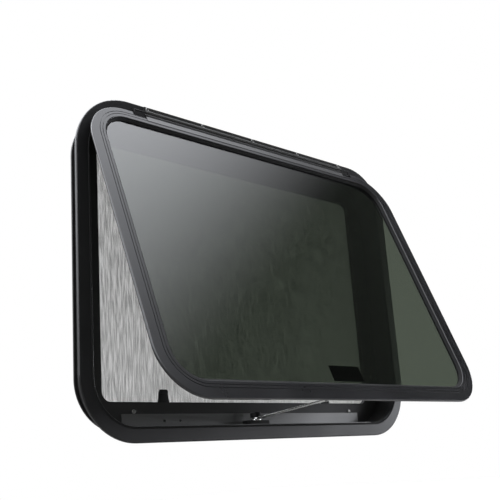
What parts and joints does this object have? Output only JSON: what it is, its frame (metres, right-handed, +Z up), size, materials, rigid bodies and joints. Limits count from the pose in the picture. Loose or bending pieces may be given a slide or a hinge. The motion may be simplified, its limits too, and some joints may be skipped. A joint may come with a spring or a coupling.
{
  "type": "caravan window",
  "caption": "Wind-out caravan window: rounded black aluminium frame set in the caravan wall, tinted glazed sash hinged along the top and open on a winder arm, insect screen inside.",
  "frame": {"origin": "bottom middle of the flange's rear face, in the plane of the caravan wall's outer skin", "axes": "+X along the window to the right seen from outside, +Y into the caravan, +Z up; outside is -Y"},
  "size_m": [0.768, 0.2629, 0.56],
  "materials": {
    "black_aluminium": "black anodised, satin",
    "sash_black": "black powder coat, satin with long soft highlights",
    "hinge_black": "dark anodised with fine ribs",
    "satin_grey": "dark satin aluminium",
    "zinc": "zinc-plated steel",
    "dark_steel": "blackened steel",
    "black_rubber": "matt rubber",
    "foam_gasket": "closed-cell foam",
    "black_plastic": "fine-grained moulded plastic",
    "screen_cloth": "coated glass-fibre insect netting",
    "tinted_glass": "grey tinted, glossy",
    "dark_film": "blank dark film on the glass"
  },
  "bodies": {
    "root": {"outer_flange": "black_aluminium", "wall_sleeve": "black_aluminium", "wall_gasket": "foam_gasket", "frame_bead": "black_rubber", "sill_cover": "satin_grey", "screen_surround": "black_aluminium", "screen_frame": "black_aluminium", "screen_cloth": "screen_cloth", "screen_spline": "black_rubber", "screen_clips": "zinc", "clip_screws": "dark_steel", "screen_tab_left": "black_plastic", "screen_tab_right": "black_plastic", "jamb_screws": "dark_steel", "sill_screws": "dark_steel", "hinge_rail": "hinge_black", "hinge_leaf": "satin_grey", "hinge_cover": "black_rubber", "hinge_block_left": "black_plastic", "hinge_block_right": "black_plastic", "hinge_screws": "dark_steel", "sash_frame": "sash_black", "sash_seal": "black_rubber", "glazing_gasket": "black_rubber", "glass_pane": "tinted_glass", "glass_film": "dark_film", "winder_box": "black_plastic", "winder_knuckle": "zinc", "winder_arm": "zinc", "winder_hub": "black_plastic", "winder_shoe": "dark_steel", "winder_track": "black_aluminium", "winder_shaft": "zinc", "winder_rose": "black_plastic", "winder_knob": "black_plastic"}
  },
  "joints": []
}
